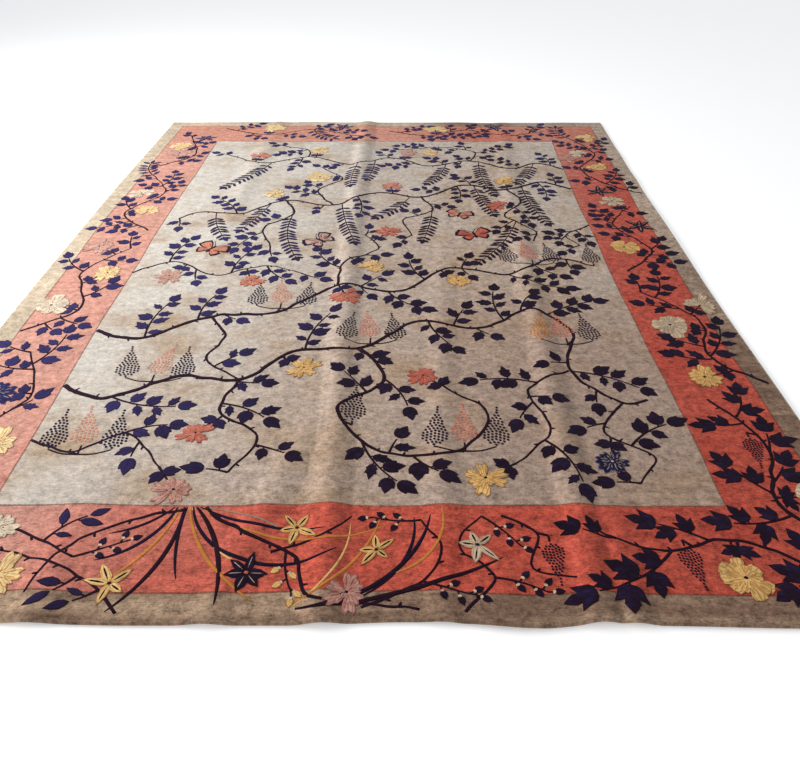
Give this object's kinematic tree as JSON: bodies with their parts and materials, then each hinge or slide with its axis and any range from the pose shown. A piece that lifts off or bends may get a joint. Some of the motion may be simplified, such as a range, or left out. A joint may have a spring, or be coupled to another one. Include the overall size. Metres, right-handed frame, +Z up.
{
  "type": "room-size pile rug",
  "caption": "Rectangular hand-knotted wool pile rug with a plain field, a wide coloured border and a plain outer band, lying flat with soft fold creases.",
  "frame": {"origin": "middle of the rug's outline, on the floor", "axes": "+Y along the rug's length, away from its near end; +X across it to the right; +Z up"},
  "size_m": [2.7794, 3.6749, 0.0229],
  "materials": {
    "wool_pile": "cut wool pile, matt with a soft sheen"
  },
  "bodies": {
    "root": {"rug": "wool_pile"}
  },
  "joints": []
}
